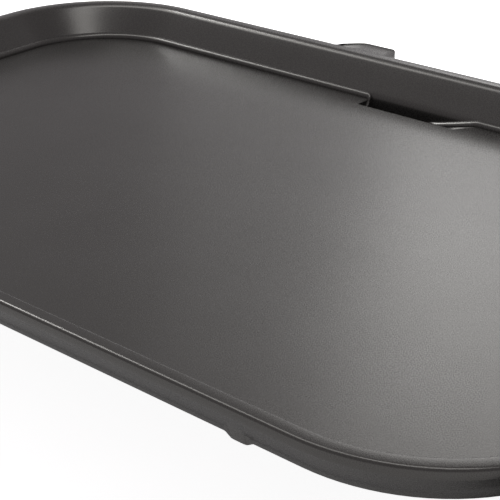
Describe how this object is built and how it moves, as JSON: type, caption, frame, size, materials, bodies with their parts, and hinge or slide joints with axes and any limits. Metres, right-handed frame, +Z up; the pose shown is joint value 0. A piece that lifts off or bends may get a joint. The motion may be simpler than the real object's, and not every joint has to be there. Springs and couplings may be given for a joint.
{
  "type": "electric griddle",
  "caption": "Electric griddle: rectangular non-stick plate with raised rim, rear drain slot and tab, on a heater base with end handles, temperature knob and drip tray.",
  "frame": {"origin": "centre of the bounding box at table level", "axes": "+X along the plate's length towards the controls, +Y towards the back with the drain slot and tab, +Z up"},
  "size_m": [0.464, 0.2596, 0.078],
  "materials": {
    "plate_coating": "satin non-stick",
    "steel_sheet": "aluminised",
    "tub_enamel": "satin enamel",
    "element_sheath": "heat-darkened",
    "steel_fixing": "zinc plated",
    "ceramic": "unglazed",
    "brass": "plain",
    "silicone": "matt",
    "moulded_black": "fine grain",
    "grip_black": "soft touch",
    "knob_plastic": "satin",
    "lens_amber": "clear amber",
    "lamp_glass": "clear",
    "wire_cover": "glass sleeve"
  },
  "bodies": {
    "base": {"plate_pads": "silicone", "heater_tub": "tub_enamel", "reflector_pan": "steel_sheet", "heating_element": "element_sheath", "element_clips": "steel_sheet", "element_terminals": "ceramic", "thermal_fuse": "ceramic", "sensor_spring": "steel_fixing", "left_end_support": "moulded_black", "right_end_support": "moulded_black", "left_handle_grip": "grip_black", "right_handle_grip": "grip_black", "rubber_feet": "silicone", "tub_screws": "steel_fixing", "grip_screws": "steel_fixing", "control_box": "moulded_black", "control_box_cover": "moulded_black", "cover_screws": "steel_fixing", "box_screws": "steel_fixing", "thermostat_body": "ceramic", "thermostat_nut": "steel_fixing", "indicator_lens": "lens_amber", "neon_lamp": "lamp_glass", "terminal_block": "ceramic", "inlet_socket": "moulded_black", "inlet_pins": "brass", "inner_wires": "wire_cover", "drip_chute": "tub_enamel", "tray_rails": "steel_sheet"},
    "plate": {"cooking_plate": "plate_coating"},
    "knob": {"thermostat_shaft": "steel_fixing", "control_knob": "knob_plastic"},
    "sensor": {"sensor_probe": "brass"},
    "tray": {"drip_tray": "steel_sheet"}
  },
  "joints": [
    {"name": "plate_lift", "type": "slide", "parent": "base", "child": "plate", "axis": [0, 0, 1], "range_m": [0, 0.06]},
    {"name": "knob_turn", "type": "hinge", "parent": "base", "child": "knob", "pos_m": [0.2105, -0.0785, 0.06], "axis": [0, 0, -1], "range_deg": [0, 270]},
    {"name": "sensor_press", "type": "slide", "parent": "base", "child": "sensor", "axis": [0, 0, -1], "range_m": [0, 0.002], "stiffness_N_per_m": 300, "springref_m": -0.001, "deforming": ["sensor_spring"]},
    {"name": "tray_slide", "type": "slide", "parent": "base", "child": "tray", "axis": [0, 1, 0], "range_m": [0, 0.08]}
  ]
}
